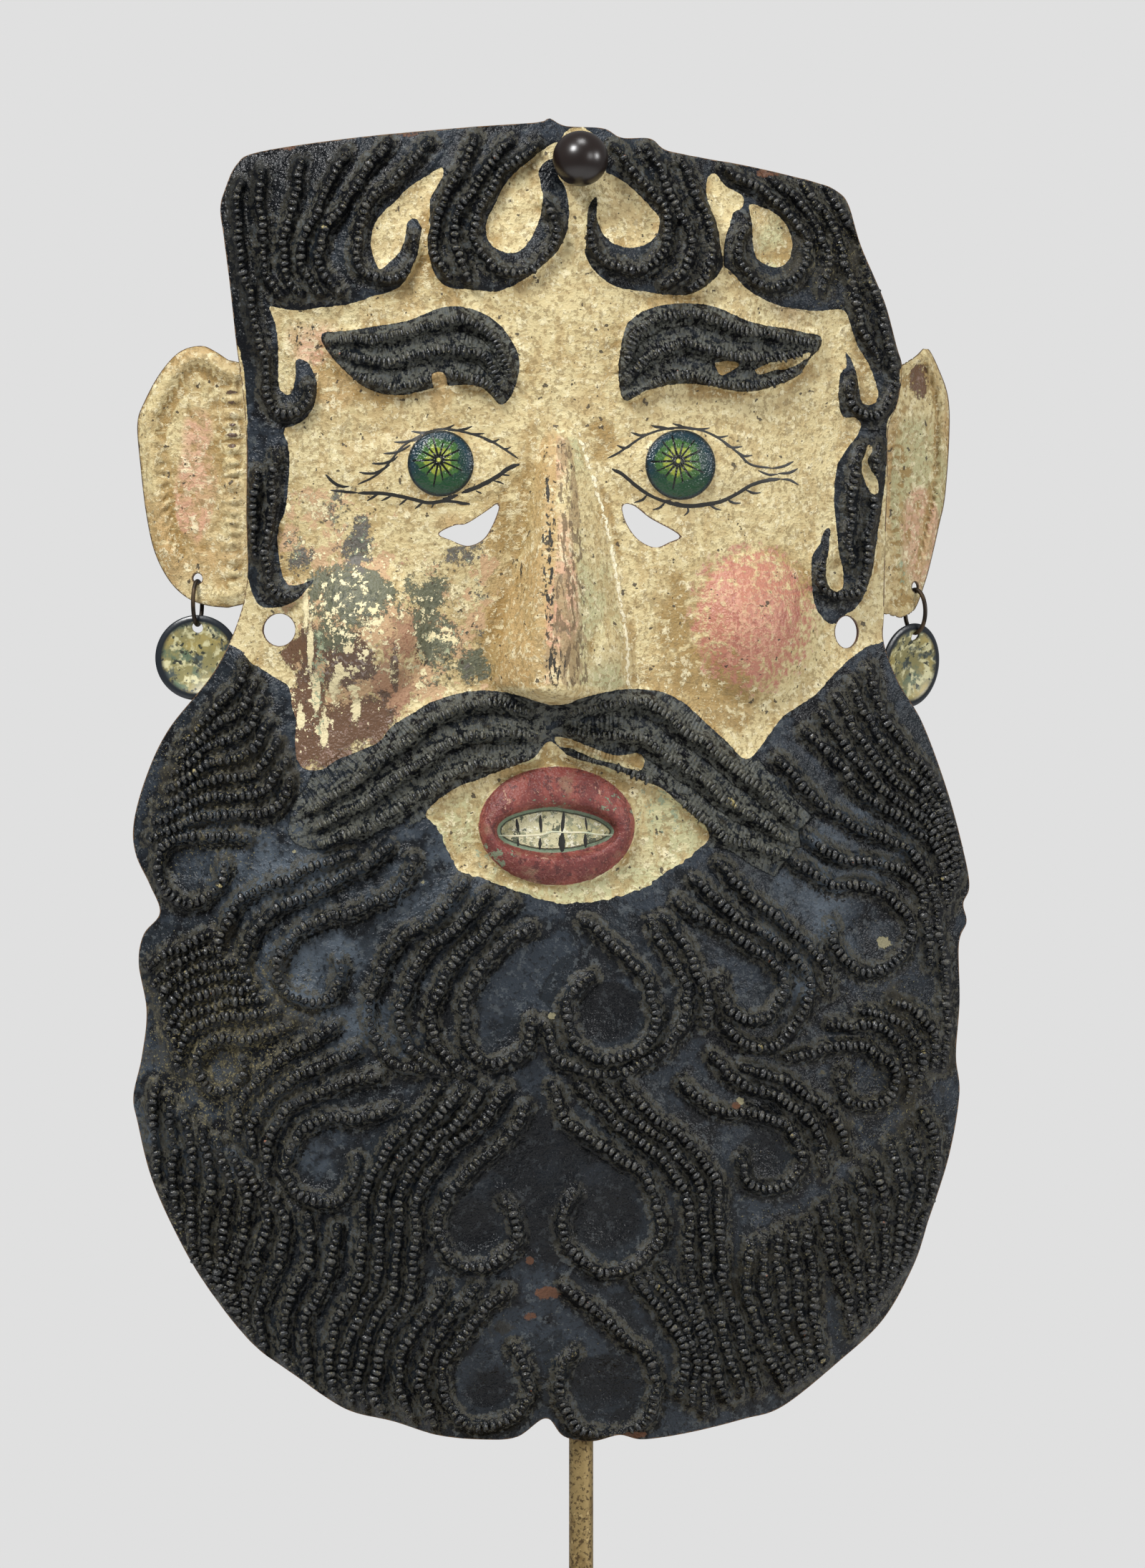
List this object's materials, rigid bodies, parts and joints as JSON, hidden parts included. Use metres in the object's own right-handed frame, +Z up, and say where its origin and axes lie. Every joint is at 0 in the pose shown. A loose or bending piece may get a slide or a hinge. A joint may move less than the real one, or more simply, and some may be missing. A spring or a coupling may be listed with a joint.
{
  "type": "bearded man mask",
  "caption": "Painted repousse copper mask of a bearded man with raised locks of hair, sheet ears and disc earrings, on a slim rod stand with a round foot.",
  "frame": {"origin": "middle of the foot's underside, on the axis of the upright rod", "axes": "+Z up along the rod; the mask looks along -Y; +X is to the viewer's right"},
  "size_m": [0.3113, 0.2, 0.5844],
  "materials": {
    "painted_copper": "worn hand-painted oil colours over hammered copper: cream skin, blue-black hair and beard",
    "cream_paint": "worn cream paint over copper sheet",
    "blackened_wire": "blackened",
    "disc_paint": "greenish ochre paint with a dark rim",
    "dark_knob": "dark brown, semi-gloss",
    "speckled_brass": "aged, with dark speckles"
  },
  "bodies": {
    "root": {"mask_sheet": "painted_copper", "ear_left": "cream_paint", "ear_right": "cream_paint", "earring_hoop_left": "blackened_wire", "earring_hoop_right": "blackened_wire", "earring_disc_left": "disc_paint", "earring_disc_right": "disc_paint", "knob": "dark_knob", "stand_rod": "speckled_brass", "stand_foot": "speckled_brass"}
  },
  "joints": []
}
